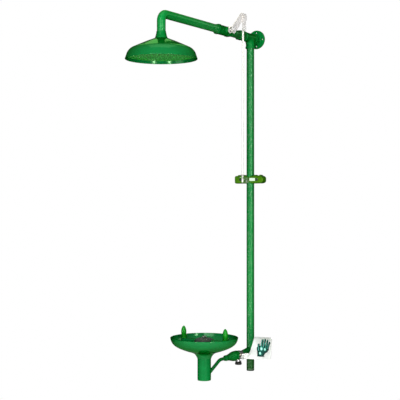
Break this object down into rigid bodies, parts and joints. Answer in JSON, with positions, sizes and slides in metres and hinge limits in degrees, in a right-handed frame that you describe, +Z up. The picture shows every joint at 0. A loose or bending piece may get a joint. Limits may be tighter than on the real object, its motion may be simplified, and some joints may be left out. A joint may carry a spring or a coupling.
{
  "type": "emergency safety shower",
  "caption": "Wall-fixed drench shower with a bell head, pull-down handle and ball valve, and a push-flag eyewash bowl on the same standpipe.",
  "frame": {"origin": "centre of the upper wall flange's back face, on the wall", "axes": "+Z up along the standpipe, +Y into the wall, -Y out into the room along the shower arm, valve levers and flag on +X"},
  "size_m": [0.3045, 0.8725, 1.535],
  "materials": {
    "green_paint": "gloss powder coat over steel pipe",
    "bell_green": "moulded ABS, glossy",
    "cap_green": "moulded ABS, bright green",
    "handle_green": "moulded nylon, yellower green",
    "stainless": "bright brushed stainless sheet and bar",
    "zinc": "zinc-plated fasteners",
    "chrome": "chrome-plated brass",
    "brass": "machined brass",
    "ptfe": "PTFE seat rings",
    "rubber": "EPDM gasket",
    "black_plastic": "moulded black knob",
    "sign_teal": "dark teal moulded sign",
    "label_white": "plain pale strip",
    "strainer_grey": "dark grey-green moulded strainer"
  },
  "bodies": {
    "pipework": {"wall_flange": "green_paint", "wall_nipple": "green_paint", "top_tee": "green_paint", "standpipe": "green_paint", "rear_nipple": "green_paint", "hex_coupling": "green_paint", "front_nipple": "green_paint", "shower_valve_body": "green_paint", "shower_valve_end_cap": "green_paint", "shower_arm": "green_paint", "head_collar": "green_paint", "branch_outlet": "green_paint", "eyewash_valve_body": "green_paint", "supply_tube": "green_paint", "tube_nut": "green_paint", "stem_fitting": "green_paint", "shower_bell": "bell_green", "bell_rim": "bell_green", "spray_plate": "bell_green", "bowl": "bell_green", "bowl_stem": "bell_green", "yoke": "bell_green", "spray_head_left": "cap_green", "spray_head_right": "cap_green", "shower_packing_nut": "stainless", "cap_pins": "stainless", "head_nut": "zinc", "eyewash_valve_end_cap": "chrome", "eyewash_packing_nut": "chrome", "yoke_nut": "chrome", "drain_body": "chrome", "riser": "brass", "shower_valve_seats": "ptfe", "eyewash_valve_seats": "ptfe", "head_gasket": "rubber", "strainer_dome": "strainer_grey"},
    "shower_lever_set": {"shower_ball": "chrome", "shower_stem": "stainless", "shower_lever": "stainless", "shower_lever_nut": "zinc", "lever_pin": "stainless"},
    "pull_rod_set": {"rod_link": "stainless", "pull_rod": "stainless", "rod_nuts": "zinc"},
    "pull_handle": {"handle_front": "handle_green", "handle_rear": "handle_green", "handle_bolts": "zinc", "handle_nuts": "zinc", "rod_eye": "stainless", "rod_eye_screw": "zinc", "handle_label": "label_white"},
    "flag": {"eyewash_ball": "chrome", "eyewash_stem": "stainless", "flag_handle": "stainless", "flag_nut": "zinc", "hand_sign": "sign_teal"},
    "knob": {"flow_spindle": "chrome", "flow_knob": "black_plastic"},
    "cap_left": {"dust_cap_left": "cap_green"},
    "cap_right": {"dust_cap_right": "cap_green"}
  },
  "joints": [
    {"name": "shower_lever_turn", "type": "hinge", "parent": "pipework", "child": "shower_lever_set", "pos_m": [0, -0.285, 0], "axis": [1, 0, 0], "range_deg": [-90, 0]},
    {"name": "rod_hang", "type": "hinge", "parent": "shower_lever_set", "child": "pull_rod_set", "pos_m": [0.0549, -0.205, 0.066], "axis": [1, 0, 0], "range_deg": [0, 90]},
    {"name": "handle_slide", "type": "slide", "parent": "pipework", "child": "pull_handle", "axis": [0, 0, 1], "range_m": [-0.1462, 0]},
    {"name": "flag_push", "type": "hinge", "parent": "pipework", "child": "flag", "pos_m": [0, -0.19, -1.374], "axis": [1, 0, 0], "range_deg": [-90, 0]},
    {"name": "knob_turn", "type": "hinge", "parent": "pipework", "child": "knob", "pos_m": [0, -0.161, -1.4], "axis": [0, 0, 1], "range_deg": [0, 270]},
    {"name": "cap_left_flip", "type": "hinge", "parent": "pipework", "child": "cap_left", "pos_m": [-0.1, -0.418, -1.265], "axis": [1, 0, 0], "range_deg": [-100, 0]},
    {"name": "cap_right_flip", "type": "hinge", "parent": "pipework", "child": "cap_right", "pos_m": [0.1, -0.418, -1.265], "axis": [1, 0, 0], "range_deg": [-100, 0]}
  ],
  "couplings": [
    {"joint": "rod_hang", "follows": "shower_lever_turn", "ratio": -1},
    {"joint": "handle_slide", "follows": "shower_lever_turn", "m_per_rad": 0.092946}
  ]
}
